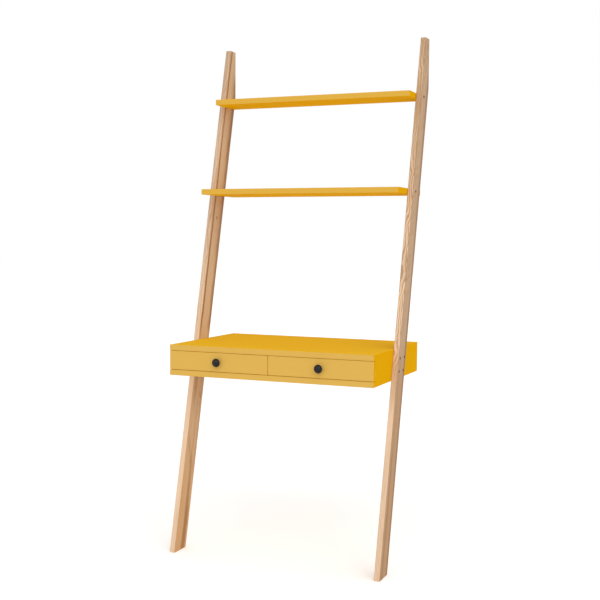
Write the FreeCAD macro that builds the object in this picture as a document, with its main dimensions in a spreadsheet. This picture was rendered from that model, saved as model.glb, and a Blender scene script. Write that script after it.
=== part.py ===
import FreeCAD, Part
import os
import Sketcher

# A ladder desk: two wooden legs lean on a wall and carry two painted shelves and a painted
# desk box with two drawers. +X is to the right, +Y towards the wall, +Z up. The floor is
# Z = 0, and the origin is under the middle of the whole object.

# Driving sizes in millimetres, and one angle in degrees.
SIZES = {
    # Legs
    "overall_height": 1800,
    "clear_width": 735,
    "leg_lean": 13.5,
    "leg_depth": 79,
    "leg_thickness": 20,
    "leg_top_depth": 40,
    "leg_edge_round": 2,
    # Painted boards
    "board_thickness": 19,
    "board_edge_round": 1,
    "wall_gap": 16,
    "upper_shelf_drop": 196,
    "upper_shelf_reach": 162,
    "shelf_pitch": 329,
    "lower_shelf_reach": 272,
    "desk_height": 737,
    "desk_reach": 500,
    # Drawer fronts and their knobs
    "front_height": 64,
    "front_thickness": 19,
    "front_gap": 1.4,
    "front_end_inset": 0.3,
    "front_rest_gap": 0.5,
    "knob_diameter": 29,
    "knob_neck_diameter": 14,
    "knob_neck_length": 7,
    "knob_rim_height": 14,
    "knob_rim_band": 1,
    "knob_projection": 24,
    # Drawer boxes
    "drawer_lift": 6,
    "drawer_back_room": 26,
    "drawer_travel": 230,
    "drawer_side_thickness": 15,
    "drawer_wall_thickness": 12,
    "drawer_base_thickness": 5,
    "drawer_base_rise": 6,
    "base_groove_depth": 5,
    "tongue_length": 4,
    "tongue_thickness": 6,
    # Runners and stops
    "runner_gap": 4,
    "runner_height": 16,
    "runner_thickness": 11.5,
    "runner_setback": 30,
    "runner_tail": 10,
    "runner_screw_inset": 24,
    "running_clearance": 0.3,
    "groove_play": 0.8,
    "groove_end_gap": 2,
    "stop_pin_diameter": 5,
    "stop_pin_chamfer": 0.5,
    "stop_pin_inset": 20,
    "stop_pin_tip_gap": 1,
    "stop_rebate_height": 6,
    "stop_rebate_depth": 5,
    # Bolts, inserts and dowels
    "fit_clearance": 0.2,
    "bolt_diameter": 5,
    "bolt_hole_clearance": 0.3,
    "bolt_head_diameter": 8.5,
    "bolt_head_crown": 7.7,
    "bolt_head_rim": 4.6,
    "bolt_head_height": 5,
    "bolt_head_sink": 6,
    "bolt_socket_width": 4,
    "bolt_socket_depth": 2.5,
    "insert_diameter": 8,
    "insert_length": 13,
    "desk_bolt_edge": 17,
    "desk_bolt_margin": 11.5,
    "shelf_fixing_pitch": 16,
    "dowel_diameter": 8,
    "dowel_chamfer": 1,
    "leg_dowel_depth": 12,
    "shelf_dowel_depth": 22,
    "top_dowel_depth": 12,
    "panel_dowel_depth": 20,
    # Screws
    "panel_fixing_inset": 45,
    "carcass_screw_diameter": 5,
    "carcass_screw_head": 10,
    "carcass_head_height": 3,
    "carcass_screw_depth": 28,
    "wood_screw_diameter": 3.5,
    "wood_screw_head": 7,
    "wood_head_height": 2.5,
    "wood_screw_tip_gap": 1,
    "front_screw_bite": 12,
    "front_screw_pitch": 200,
    "pan_head_diameter": 8,
    "pan_head_height": 2.5,
    "knob_screw_diameter": 4,
    "knob_screw_bite": 12,
}

# Places and lengths worked out from the driving sizes. Y places count towards the wall.
PLACES = {
    # Legs
    "half_clear": "Sizes.clear_width / 2",
    "leg_outer": "half_clear + Sizes.leg_thickness",
    "wall": "(Sizes.desk_reach + Sizes.knob_projection) / 2",
    "lean_slope": "tan(Sizes.leg_lean)",
    "leg_run": "Sizes.leg_depth / cos(Sizes.leg_lean)",
    "foot_front": "wall - Sizes.leg_top_depth - Sizes.overall_height * lean_slope",
    "foot_middle": "foot_front + leg_run / 2",
    "foot_back": "foot_front + leg_run",
    "wall_cut_low": "(wall - foot_back) / lean_slope",
    # Boards
    "boards_back": "wall - Sizes.wall_gap",
    "upper_top": "Sizes.overall_height - Sizes.upper_shelf_drop",
    "upper_middle": "upper_top - Sizes.board_thickness / 2",
    "upper_front": "wall - Sizes.upper_shelf_reach",
    "lower_top": "upper_top - Sizes.shelf_pitch",
    "lower_middle": "lower_top - Sizes.board_thickness / 2",
    "lower_front": "wall - Sizes.lower_shelf_reach",
    "desk_front": "wall - Sizes.desk_reach",
    # Bays between the desk's top and bottom boards
    "bay_height": "Sizes.front_height + 2 * Sizes.front_gap",
    "bay_top": "Sizes.desk_height - Sizes.board_thickness",
    "bay_bottom": "bay_top - bay_height",
    "bay_middle": "bay_top - bay_height / 2",
    "desk_underside": "bay_bottom - Sizes.board_thickness",
    "panel_front": "desk_front + Sizes.front_thickness + Sizes.front_rest_gap",
    "bay_back": "boards_back - Sizes.board_thickness",
    "bay_inner": "Sizes.board_thickness / 2",
    "bay_outer": "half_clear - Sizes.board_thickness",
    "bay_center": "(bay_inner + bay_outer) / 2",
    # Drawers
    "box_half": "(bay_outer - bay_inner) / 2 - Sizes.runner_gap",
    "cavity_half": "box_half - Sizes.drawer_side_thickness",
    "box_front": "desk_front + Sizes.front_thickness",
    "box_back": "bay_back - Sizes.drawer_back_room",
    "box_bottom": "bay_bottom + Sizes.drawer_lift",
    "box_top": "bay_top - Sizes.drawer_lift",
    "inside_front": "box_front + Sizes.drawer_wall_thickness",
    "inside_back": "box_back - Sizes.drawer_wall_thickness",
    "base_low": "box_bottom + Sizes.drawer_base_rise",
    "base_high": "base_low + Sizes.drawer_base_thickness",
    "base_front": "inside_front - Sizes.base_groove_depth",
    "front_low": "bay_bottom + Sizes.front_gap",
    "front_high": "bay_top - Sizes.front_gap",
    "front_inner": "Sizes.front_gap / 2",
    "front_outer": "half_clear - Sizes.front_end_inset",
    "front_center": "(front_inner + front_outer) / 2",
    "dome_rise": "Sizes.knob_projection - Sizes.knob_rim_height",
    "dome_radius": "((Sizes.knob_diameter / 2) ^ 2 + dome_rise ^ 2) / (2 * dome_rise)",
    "dome_start": "asin(1 - dome_rise / dome_radius)",
    # Runners and stops
    "runner_front": "panel_front + Sizes.runner_setback",
    "runner_back": "box_back - Sizes.runner_tail",
    "runner_low": "bay_middle - Sizes.runner_height / 2",
    "runner_high": "bay_middle + Sizes.runner_height / 2",
    "groove_depth": "Sizes.runner_thickness - Sizes.runner_gap + Sizes.running_clearance",
    "groove_front": "runner_front - Sizes.groove_end_gap",
    "groove_low": "runner_low - Sizes.groove_play",
    "groove_high": "runner_high + Sizes.running_clearance",
    "groove_web": "Sizes.drawer_side_thickness - groove_depth",
    "rebate_high": "runner_low + Sizes.stop_rebate_height",
    "stop_pin_y": "box_back - Sizes.stop_pin_inset",
    "stop_pin_z": "runner_low + Sizes.stop_pin_diameter / 2",
    "stop_pin_front": "stop_pin_y - Sizes.stop_pin_diameter / 2",
    "rebate_front": "stop_pin_front - Sizes.drawer_travel - Sizes.running_clearance",
    "stop_pin_reach": "Sizes.running_clearance + Sizes.stop_rebate_depth - Sizes.stop_pin_tip_gap",
    # Bolts, dowels and screws
    "bolt_seat": "leg_outer - Sizes.bolt_head_sink",
    "desk_bolt_run": "leg_run / 2 - Sizes.desk_bolt_edge / cos(Sizes.leg_lean)",
    "desk_bolt_rise": "bay_height / 2 - Sizes.desk_bolt_margin",
    "side_panel_middle": "half_clear - Sizes.board_thickness / 2",
    "back_panel_middle": "boards_back - Sizes.board_thickness / 2",
    "fixing_front": "panel_front + Sizes.panel_fixing_inset",
    "fixing_back": "bay_back - Sizes.panel_fixing_inset",
    "runner_screw_front": "runner_front + Sizes.runner_screw_inset",
    "runner_screw_back": "runner_back - Sizes.runner_screw_inset",
    "runner_screw_z": "(rebate_high + runner_high) / 2",
    "runner_screw_bite": "Sizes.board_thickness / 2 - Sizes.wood_screw_tip_gap",
}

# Bores of the drilled holes.
BOLT_BORE = "Sizes.bolt_diameter + 2 * Sizes.bolt_hole_clearance"
BOLT_COUNTERBORE = "Sizes.bolt_head_diameter + 2 * Sizes.bolt_hole_clearance"
INSERT_BORE = "Sizes.insert_diameter + 2 * Sizes.fit_clearance"
DOWEL_BORE = "Sizes.dowel_diameter + 2 * Sizes.fit_clearance"
CARCASS_BORE = "Sizes.carcass_screw_diameter + 2 * Sizes.fit_clearance"
CARCASS_COUNTERBORE = "Sizes.carcass_screw_head + 2 * Sizes.fit_clearance"
WOOD_BORE = "Sizes.wood_screw_diameter + 2 * Sizes.fit_clearance"
WOOD_COUNTERBORE = "Sizes.wood_screw_head + 2 * Sizes.fit_clearance"
KNOB_BORE = "Sizes.knob_screw_diameter + 2 * Sizes.fit_clearance"
STOP_PIN_BORE = "Sizes.stop_pin_diameter + 2 * Sizes.fit_clearance"

DOC = FreeCAD.newDocument("LadderDesk")
NODES = []
NEAR = 0.01
FULL_TURN = 360
UP = FreeCAD.Vector(0, 0, 1)
DOWN = FreeCAD.Vector(0, 0, -1)
TO_WALL = FreeCAD.Vector(0, 1, 0)
TO_FRONT = FreeCAD.Vector(0, -1, 0)
SIDES = {"left": -1, "right": 1}
EDGES = {"inner": -1, "outer": 1}


def make_sheet(name, rows, prefix):
    """Make a spreadsheet with one aliased cell per row."""
    sheet = DOC.addObject("Spreadsheet::Sheet", name)
    for number, (alias, content) in enumerate(rows.items(), start=1):
        sheet.set(f"A{number}", alias)
        sheet.set(f"B{number}", f"{prefix}{content}")
        sheet.setAlias(f"B{number}", alias)
    DOC.recompute()
    return sheet


def times(sign, expression):
    """Give an expression for the right (1) or left (-1) half of the object."""
    return f"{sign} * ({expression})"


def sideways(sign):
    """Give the X direction that points away from the object's middle on one side."""
    return FreeCAD.Vector(sign, 0, 0)


def new_body(label):
    """Start a labelled body."""
    body = DOC.addObject("PartDesign::Body", label)
    body.Label = label
    return body


def new_sketch(body, name, role, offset="0"):
    """Put a sketch on one of the body's own origin planes, moved along its normal."""
    plane = next(item for item in body.Origin.OriginFeatures if item.Role == role)
    sketch = body.newObject("Sketcher::SketchObject", f"{body.Name}_{name}")
    sketch.AttachmentSupport = (plane, [""])
    sketch.MapMode = "FlatFace"
    sketch.setExpression("AttachmentOffset.Base.z", offset)
    return sketch


def drive(sketch, constraint, expression):
    """Add a constraint whose value follows an expression."""
    number = sketch.addConstraint(constraint)
    name = f"size_{number}"
    sketch.renameConstraint(number, name)
    sketch.setExpression(f"Constraints.{name}", expression)


def pin_point(sketch, geometry, point, across, along):
    """Place a point of the sketch by expressions from the sketch's origin."""
    drive(sketch, Sketcher.Constraint("DistanceX", -1, 1, geometry, point, 1), across)
    drive(sketch, Sketcher.Constraint("DistanceY", -1, 1, geometry, point, 1), along)


def draw_outline(sketch, points):
    """Draw a closed outline with straight edges between pairs of expressions."""
    starts = [FreeCAD.Vector(number, number * number, 0) for number in range(len(points))]
    lines = [Part.LineSegment(*ends) for ends in zip(starts, starts[1:] + starts[:1])]
    edges = [sketch.addGeometry(line) for line in lines]
    for edge, following in zip(edges, edges[1:] + edges[:1]):
        sketch.addConstraint(Sketcher.Constraint("Coincident", edge, 2, following, 1))
    for edge, (across, along) in zip(edges, points):
        pin_point(sketch, edge, 1, across, along)


def draw_rectangle(sketch, across, along):
    """Draw a rectangle between two expressions across and two along the sketch."""
    (left, right), (low, high) = across, along
    draw_outline(sketch, [(left, low), (right, low), (right, high), (left, high)])


def draw_circles(sketch, centers, diameter):
    """Draw circles of one diameter at pairs of expressions."""
    for across, along in centers:
        circle = sketch.addGeometry(Part.Circle(FreeCAD.Vector(), UP, 1))
        pin_point(sketch, circle, 3, across, along)
        drive(sketch, Sketcher.Constraint("Diameter", circle, 2), diameter)


def pad(body, sketch, depth, forward=True):
    """Thicken a sketch along its normal, or against it."""
    feature = body.newObject("PartDesign::Pad", f"{sketch.Name}_pad")
    feature.Profile = sketch
    feature.setExpression("Length", depth)
    feature.Reversed = not forward
    DOC.recompute()


def pocket(body, sketch, depth, forward):
    """Cut a sketch into the body along its normal, or against it."""
    before = body.Shape.Volume
    feature = body.newObject("PartDesign::Pocket", f"{sketch.Name}_cut")
    feature.Profile = sketch
    feature.setExpression("Length", depth)
    feature.Reversed = forward
    DOC.recompute()
    if body.Shape.Volume >= before:
        raise RuntimeError(f"{feature.Name} cuts nothing")


def block(label, across, along, upward):
    """Make a rectangular piece between pairs of expressions in X, Y and Z."""
    (left, right), (front, back) = across, along
    return prism(label, [(left, front), (right, front), (right, back), (left, back)], upward)


def prism(label, plan, upward):
    """Make a piece with a straight-sided plan, between two Z places."""
    body = new_body(label)
    low, high = upward
    sketch = new_sketch(body, "plan", "XY_Plane", low)
    draw_outline(sketch, plan)
    pad(body, sketch, f"({high}) - ({low})")
    NODES.append(body)
    return body


def drill_across(body, name, face, centers, diameter, depth, sign):
    """Drill along X from the face at an X place, towards +X for sign 1."""
    sketch = new_sketch(body, name, "YZ_Plane", face)
    draw_circles(sketch, centers, diameter)
    pocket(body, sketch, depth, sign > 0)


def drill_level(body, name, face, centers, diameter, depth, to_front):
    """Drill along Y from the face at a Y place. The upright plane's normal points to the front."""
    sketch = new_sketch(body, name, "XZ_Plane", f"-({face})")
    draw_circles(sketch, centers, diameter)
    pocket(body, sketch, depth, to_front)


def drill_upright(body, name, face, centers, diameter, depth, upward):
    """Drill along Z from the face at a Z place."""
    sketch = new_sketch(body, name, "XY_Plane", face)
    draw_circles(sketch, centers, diameter)
    pocket(body, sketch, depth, upward)


def plough(body, name, face, along, upward, depth, sign):
    """Cut a straight groove into the face at an X place, towards +X for sign 1."""
    sketch = new_sketch(body, name, "YZ_Plane", face)
    draw_rectangle(sketch, along, upward)
    pocket(body, sketch, depth, sign > 0)


def round_edges(body, radius, chosen):
    """Round every edge of the body that the test picks."""
    base = body.Tip
    picked = [f"Edge{number}" for number, edge in enumerate(base.Shape.Edges, start=1) if chosen(edge)]
    fillet = body.newObject("PartDesign::Fillet", f"{body.Name}_rounding")
    fillet.Base = (base, picked)
    fillet.setExpression("Radius", radius)
    DOC.recompute()


def turned(label, profile):
    """Turn a piece about its own Z axis from a profile of radius and height expressions."""
    body = new_body(label)
    sketch = new_sketch(body, "profile", "XZ_Plane")
    draw_outline(sketch, profile)
    feature = body.newObject("PartDesign::Revolution", f"{sketch.Name}_turn")
    feature.Profile = sketch
    feature.ReferenceAxis = (sketch, ["V_Axis"])
    feature.Angle = FULL_TURN
    DOC.recompute()
    return body


def headed(label, head_diameter, head_height, shank_diameter, shank_length):
    """Turn a flat-headed screw, its head above Z = 0 and its shank below."""
    head = f"({head_diameter}) / 2"
    shank = f"({shank_diameter}) / 2"
    tip = f"-({shank_length})"
    return turned(label, [("0", head_height), (head, head_height), (head, "0"), (shank, "0"), (shank, tip),
                          ("0", tip)])


def rod(label, diameter, length, chamfer):
    """Turn a plain pin that stands on Z = 0, with broken corners at both ends."""
    full = f"({diameter}) / 2"
    small = f"{full} - ({chamfer})"
    shoulder = f"({length}) - ({chamfer})"
    return turned(label, [("0", "0"), (small, "0"), (full, chamfer), (full, shoulder), (small, length),
                          ("0", length)])


def seat(piece, place, direction):
    """Put a piece at three expressions, with its own Z axis along a direction."""
    piece.Placement = FreeCAD.Placement(FreeCAD.Vector(), FreeCAD.Rotation(UP, direction))
    for axis, expression in zip("xyz", place):
        piece.setExpression(f"Placement.Base.{axis}", expression)


def set_of(label, pattern, seats):
    """Copy one fastener to several seats and keep the copies as one node of separate solids."""
    copies = []
    for place, direction in seats:
        copy = DOC.addObject("App::Link", f"{label}_copy")
        copy.setLink(pattern)
        seat(copy, place, direction)
        copies.append(copy)
    group = DOC.addObject("Part::Compound", label)
    group.Label = label
    group.Links = copies
    DOC.recompute()
    NODES.append(group)


def leg_point(level, shift):
    """Give Y and Z of a point on a leg at a height, a distance behind the leg's middle line."""
    return (f"Places.foot_middle + ({level}) * Places.lean_slope + ({shift})", level)


def desk_bolt_points():
    """Give Y and Z of the four bolts that hold the desk to a leg."""
    levels = [f"Places.bay_middle + ({row} * Places.desk_bolt_rise)" for row in (-1, 1)]
    shifts = [f"{column} * Places.desk_bolt_run" for column in (-1, 1)]
    return [leg_point(level, shift) for level in levels for shift in shifts]


def shelf_points(column):
    """Give Y and Z of one fixing per shelf, the bolt (-1) or the dowel (1) behind it."""
    return [leg_point(level, f"{column} * Sizes.shelf_fixing_pitch / 2")
            for level in ("Places.upper_middle", "Places.lower_middle")]


def panel_points(x):
    """Give X and Y of the two fixings along an upright panel of the desk box."""
    return [(x, "Places.fixing_front"), (x, "Places.fixing_back")]


def back_panel_points():
    """Give X and Y of the two fixings along the desk's back panel."""
    return [(times(sign, "Places.bay_center"), "Places.back_panel_middle") for sign in SIDES.values()]


def carcass_points():
    """Give X and Y of every fixing between the desk's boards and the panels between them."""
    points = panel_points("0") + back_panel_points()
    for sign in SIDES.values():
        points += panel_points(times(sign, "Places.side_panel_middle"))
    return points


def runner_points():
    """Give Y and Z of the screws along a runner."""
    return [("Places.runner_screw_front", "Places.runner_screw_z"),
            ("Places.runner_screw_back", "Places.runner_screw_z")]


def is_leg_arris(edge):
    """Tell the edges round a leg's two side faces, apart from those on the floor."""
    box = edge.BoundBox
    return box.XLength < NEAR and box.ZMax > NEAR


def make_leg(side, sign):
    """Make a leg with a level foot and top, cut upright where it lies on the wall."""
    body = new_body(f"{side}_leg")
    inner = times(sign, "Places.half_clear")
    outer = times(sign, "Places.leg_outer")
    sketch = new_sketch(body, "side_view", "YZ_Plane", inner)
    draw_outline(sketch, [
        ("Places.foot_front", "0"),
        ("Places.foot_back", "0"),
        ("Places.wall", "Places.wall_cut_low"),
        ("Places.wall", "Sizes.overall_height"),
        ("Places.wall - Sizes.leg_top_depth", "Sizes.overall_height"),
    ])
    pad(body, sketch, "Sizes.leg_thickness", sign > 0)
    round_edges(body, "Sizes.leg_edge_round", is_leg_arris)
    bolt_points = desk_bolt_points() + shelf_points(-1)
    drill_across(body, "bolt_holes", outer, bolt_points, BOLT_BORE, "Sizes.leg_thickness", -sign)
    drill_across(body, "head_recesses", outer, bolt_points, BOLT_COUNTERBORE, "Sizes.bolt_head_sink", -sign)
    drill_across(body, "dowel_holes", inner, shelf_points(1), DOWEL_BORE, "Sizes.leg_dowel_depth", sign)
    NODES.append(body)


def make_shelf(name, row):
    """Make a shelf between the legs, with its inserts' and dowels' holes in both ends."""
    top = f"Places.{name}_top"
    body = block(f"{name}_shelf", ["-Places.half_clear", "Places.half_clear"],
                 [f"Places.{name}_front", "Places.boards_back"], [f"{top} - Sizes.board_thickness", top])
    round_edges(body, "Sizes.board_edge_round", lambda edge: edge.BoundBox.XLength > NEAR)
    for side, sign in SIDES.items():
        end = times(sign, "Places.half_clear")
        drill_across(body, f"{side}_insert_hole", end, shelf_points(-1)[row:row + 1], INSERT_BORE,
                     "Sizes.insert_length", -sign)
        drill_across(body, f"{side}_dowel_hole", end, shelf_points(1)[row:row + 1], DOWEL_BORE,
                     "Sizes.shelf_dowel_depth", -sign)


def make_desk_boards():
    """Make the desk's top and bottom boards, drilled for the panels between them."""
    across = ["-Places.half_clear", "Places.half_clear"]
    along = ["Places.desk_front", "Places.boards_back"]
    top = block("desk_top", across, along, ["Places.bay_top", "Sizes.desk_height"])
    highest = top.Shape.BoundBox.ZMax
    round_edges(top, "Sizes.board_edge_round", lambda edge: edge.BoundBox.ZMin > highest - NEAR)
    points = carcass_points()
    drill_upright(top, "dowel_holes", "Places.bay_top", points, DOWEL_BORE, "Sizes.top_dowel_depth", True)
    bottom = block("desk_bottom", across, along, ["Places.desk_underside", "Places.bay_bottom"])
    lowest = bottom.Shape.BoundBox.ZMin
    round_edges(bottom, "Sizes.board_edge_round", lambda edge: edge.BoundBox.ZMax < lowest + NEAR)
    drill_upright(bottom, "screw_holes", "Places.desk_underside", points, CARCASS_BORE,
                  "Sizes.board_thickness", True)
    drill_upright(bottom, "head_recesses", "Places.desk_underside", points, CARCASS_COUNTERBORE,
                  "Sizes.carcass_head_height", True)


def make_panel(label, across, along, points):
    """Make an upright panel of the desk box, drilled for dowels above and screws below."""
    body = block(label, across, along, ["Places.bay_bottom", "Places.bay_top"])
    drill_upright(body, "dowel_holes", "Places.bay_top", points, DOWEL_BORE,
                  "Sizes.panel_dowel_depth", False)
    drill_upright(body, "screw_holes", "Places.bay_bottom", points, CARCASS_BORE,
                  "Sizes.carcass_screw_depth", True)
    return body


def make_desk_panels():
    """Make the side panels, the divider and the back panel of the desk box."""
    for side, sign in SIDES.items():
        inside = times(sign, "Places.bay_outer")
        outside = times(sign, "Places.half_clear")
        along = ["Places.panel_front", "Places.boards_back"]
        points = panel_points(times(sign, "Places.side_panel_middle"))
        body = make_panel(f"{side}_side_panel", [inside, outside], along, points)
        drill_across(body, "insert_holes", outside, desk_bolt_points(), INSERT_BORE,
                     "Sizes.insert_length", -sign)
        drill_across(body, "runner_screw_holes", inside, runner_points(), WOOD_BORE,
                     "Places.runner_screw_bite", sign)
    divider = make_panel("center_divider", ["-Places.bay_inner", "Places.bay_inner"],
                         ["Places.panel_front", "Places.bay_back"], panel_points("0"))
    for side, sign in SIDES.items():
        face = times(sign, "Places.bay_inner")
        drill_across(divider, f"{side}_runner_screw_holes", face, runner_points(), WOOD_BORE,
                     "Places.runner_screw_bite", -sign)
    make_panel("back_panel", ["-Places.bay_outer", "Places.bay_outer"],
               ["Places.bay_back", "Places.boards_back"], back_panel_points())


def make_runner(side, sign, edge, outward):
    """Make a runner that a drawer's grooved side rides on, rebated for the drawer's stop pin."""
    wall = times(sign, f"Places.bay_{edge}")
    face = times(sign, f"Places.bay_{edge} - {outward} * Sizes.runner_thickness")
    body = block(f"{side}_{edge}_runner", [wall, face], ["Places.runner_front", "Places.runner_back"],
                 ["Places.runner_low", "Places.runner_high"])
    inward = sign * outward
    plough(body, "stop_rebate", face, ["Places.rebate_front", "Places.runner_back"],
           ["Places.runner_low", "Places.rebate_high"], "Sizes.stop_rebate_depth", inward)
    points = runner_points()
    drill_across(body, "screw_holes", face, points, WOOD_BORE, "Sizes.runner_thickness", inward)
    drill_across(body, "head_recesses", face, points, WOOD_COUNTERBORE, "Sizes.wood_head_height", inward)


def make_drawer_side(side, sign, edge, outward):
    """Make a drawer side, grooved outside for its runner and inside for the base and the end walls."""
    outside = times(sign, f"Places.bay_center + {outward} * Places.box_half")
    inside = times(sign, f"Places.bay_center + {outward} * Places.cavity_half")
    height = ["Places.box_bottom", "Places.box_top"]
    out_way = sign * outward
    body = block(f"{side}_drawer_{edge}_side", [inside, outside], ["Places.box_front", "Places.box_back"],
                 height)
    plough(body, "runner_groove", outside, ["Places.groove_front", "Places.box_back"],
           ["Places.groove_low", "Places.groove_high"], "Places.groove_depth", -out_way)
    plough(body, "base_groove", inside, ["Places.base_front", "Places.box_back"],
           ["Places.base_low", "Places.base_high"], "Sizes.base_groove_depth", out_way)
    front_housing = ["Places.inside_front - Sizes.tongue_thickness", "Places.inside_front"]
    plough(body, "front_housing", inside, front_housing, height, "Sizes.tongue_length", out_way)
    back_housing = ["Places.inside_back", "Places.inside_back + Sizes.tongue_thickness"]
    plough(body, "back_housing", inside, back_housing, height, "Sizes.tongue_length", out_way)
    drill_across(body, "stop_pin_hole", inside, [("Places.stop_pin_y", "Places.stop_pin_z")], STOP_PIN_BORE,
                 "Places.groove_web", out_way)


def box_span(sign, half):
    """Give the X places a half width to either side of a drawer box's middle."""
    return [times(sign, f"Places.bay_center + {end} * ({half})") for end in EDGES.values()]


def tongued_plan(sign, plain, shoulder, tongue):
    """Give the plan of a drawer's end wall, whose tongues at both ends fit the sides' housings."""
    near = box_span(sign, "Places.cavity_half")
    far = box_span(sign, "Places.cavity_half + Sizes.tongue_length")
    return [(near[0], plain), (near[1], plain), (near[1], shoulder), (far[1], shoulder), (far[1], tongue),
            (far[0], tongue), (far[0], shoulder), (near[0], shoulder)]


def front_screw_points(sign):
    """Give X and Z of the screws that hold a painted front on its drawer box."""
    return [(x, "Places.bay_middle") for x in box_span(sign, "Sizes.front_screw_pitch / 2")]


def drill_front(body, sign, face, screw_depth, knob_depth):
    """Drill a drawer's front screws and its knob screw into the face at a Y place."""
    drill_level(body, "front_screw_holes", face, front_screw_points(sign), WOOD_BORE, screw_depth, True)
    knob_point = (times(sign, "Places.front_center"), "Places.bay_middle")
    drill_level(body, "knob_screw_hole", face, [knob_point], KNOB_BORE, knob_depth, True)


def make_drawer_walls(side, sign):
    """Make a drawer's inner front, back and base, which slides in below the back."""
    front_plan = tongued_plan(sign, "Places.box_front", "Places.inside_front - Sizes.tongue_thickness",
                              "Places.inside_front")
    inner_front = prism(f"{side}_drawer_inner_front", front_plan, ["Places.box_bottom", "Places.box_top"])
    base_height = ["Places.base_low", "Places.base_high"]
    groove = new_sketch(inner_front, "base_groove", "XZ_Plane", "-Places.inside_front")
    draw_rectangle(groove, box_span(sign, "Places.cavity_half + Sizes.base_groove_depth"), base_height)
    pocket(inner_front, groove, "Sizes.base_groove_depth", True)
    drill_front(inner_front, sign, "Places.inside_front", "Sizes.drawer_wall_thickness",
                "Sizes.drawer_wall_thickness")
    back_plan = tongued_plan(sign, "Places.box_back", "Places.inside_back + Sizes.tongue_thickness",
                             "Places.inside_back")
    prism(f"{side}_drawer_back", back_plan, ["Places.base_high", "Places.box_top"])
    base_half = "Places.cavity_half + Sizes.base_groove_depth - Sizes.fit_clearance"
    block(f"{side}_drawer_base", box_span(sign, base_half),
          ["Places.base_front + Sizes.fit_clearance", "Places.box_back"], base_height)


def make_drawer_front(side, sign):
    """Make the painted front that covers the ends of the desk's panels."""
    across = [times(sign, "Places.front_inner"), times(sign, "Places.front_outer")]
    front = block(f"{side}_drawer_front", across, ["Places.desk_front", "Places.box_front"],
                  ["Places.front_low", "Places.front_high"])
    nearest = front.Shape.BoundBox.YMin
    round_edges(front, "Sizes.board_edge_round", lambda edge: edge.BoundBox.YMax < nearest + NEAR)
    drill_front(front, sign, "Places.box_front", "Sizes.front_screw_bite", "Sizes.front_thickness")


def make_knob(side, sign):
    """Turn a mushroom knob: a neck, a flared underside, a rim and a domed cap, bored for its screw."""
    rim = "Sizes.knob_diameter / 2"
    neck = "Sizes.knob_neck_diameter / 2"
    body = turned(f"{side}_knob", [
        ("0", "0"), (neck, "0"), (neck, "Sizes.knob_neck_length"),
        (rim, "Sizes.knob_rim_height - Sizes.knob_rim_band"), (rim, "Sizes.knob_rim_height"),
        ("0", "Sizes.knob_rim_height")])
    dome = body.newObject("PartDesign::AdditiveSphere", f"{body.Name}_dome")
    dome.setExpression("Radius", "Places.dome_radius")
    dome.setExpression("Angle1", "Places.dome_start")
    dome.setExpression("Placement.Base.z", "Sizes.knob_projection - Places.dome_radius")
    DOC.recompute()
    drill_upright(body, "screw_hole", "0", [("0", "0")], KNOB_BORE, "Sizes.knob_screw_bite", True)
    seat(body, (times(sign, "Places.front_center"), "Places.desk_front", "Places.bay_middle"), TO_FRONT)
    NODES.append(body)


def make_drawer_fastenings(side, sign, patterns):
    """Make a drawer's knob screw, front screws and stop pins."""
    inside = "Places.inside_front"
    knob_seat = ((times(sign, "Places.front_center"), inside, "Places.bay_middle"), TO_WALL)
    set_of(f"{side}_knob_screw", patterns["knob_screw"], [knob_seat])
    front_seats = [((x, inside, z), TO_WALL) for x, z in front_screw_points(sign)]
    set_of(f"{side}_front_screws", patterns["front_screw"], front_seats)
    pin_seats = []
    for x, outward in zip(box_span(sign, "Places.cavity_half"), EDGES.values()):
        place = (x, "Places.stop_pin_y", "Places.stop_pin_z")
        pin_seats.append((place, sideways(sign * outward)))
    set_of(f"{side}_stop_pins", patterns["stop_pin"], pin_seats)


def make_bolt():
    """Turn a bolt, its head above Z = 0, and cut the hexagonal socket for its key."""
    head = "Sizes.bolt_head_diameter / 2"
    shank = "Sizes.bolt_diameter / 2"
    top = "Sizes.bolt_head_height"
    tip = "Sizes.fit_clearance + Sizes.bolt_head_sink - Sizes.leg_thickness - Sizes.insert_length"
    body = turned("bolt", [
        ("0", top), ("Sizes.bolt_head_crown / 2", top), (head, "Sizes.bolt_head_rim"), (head, "0"),
        (shank, "0"), (shank, tip), ("0", tip)])
    flat = "Sizes.bolt_socket_width / 2"
    corner = "Sizes.bolt_socket_width / sqrt(3)"
    socket = new_sketch(body, "socket", "XY_Plane", top)
    draw_outline(socket, [
        ("0", f"-{corner}"), (flat, f"-{corner} / 2"), (flat, f"{corner} / 2"), ("0", corner),
        (f"-{flat}", f"{corner} / 2"), (f"-{flat}", f"-{corner} / 2")])
    pocket(body, socket, "Sizes.bolt_socket_depth", False)
    return body


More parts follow.
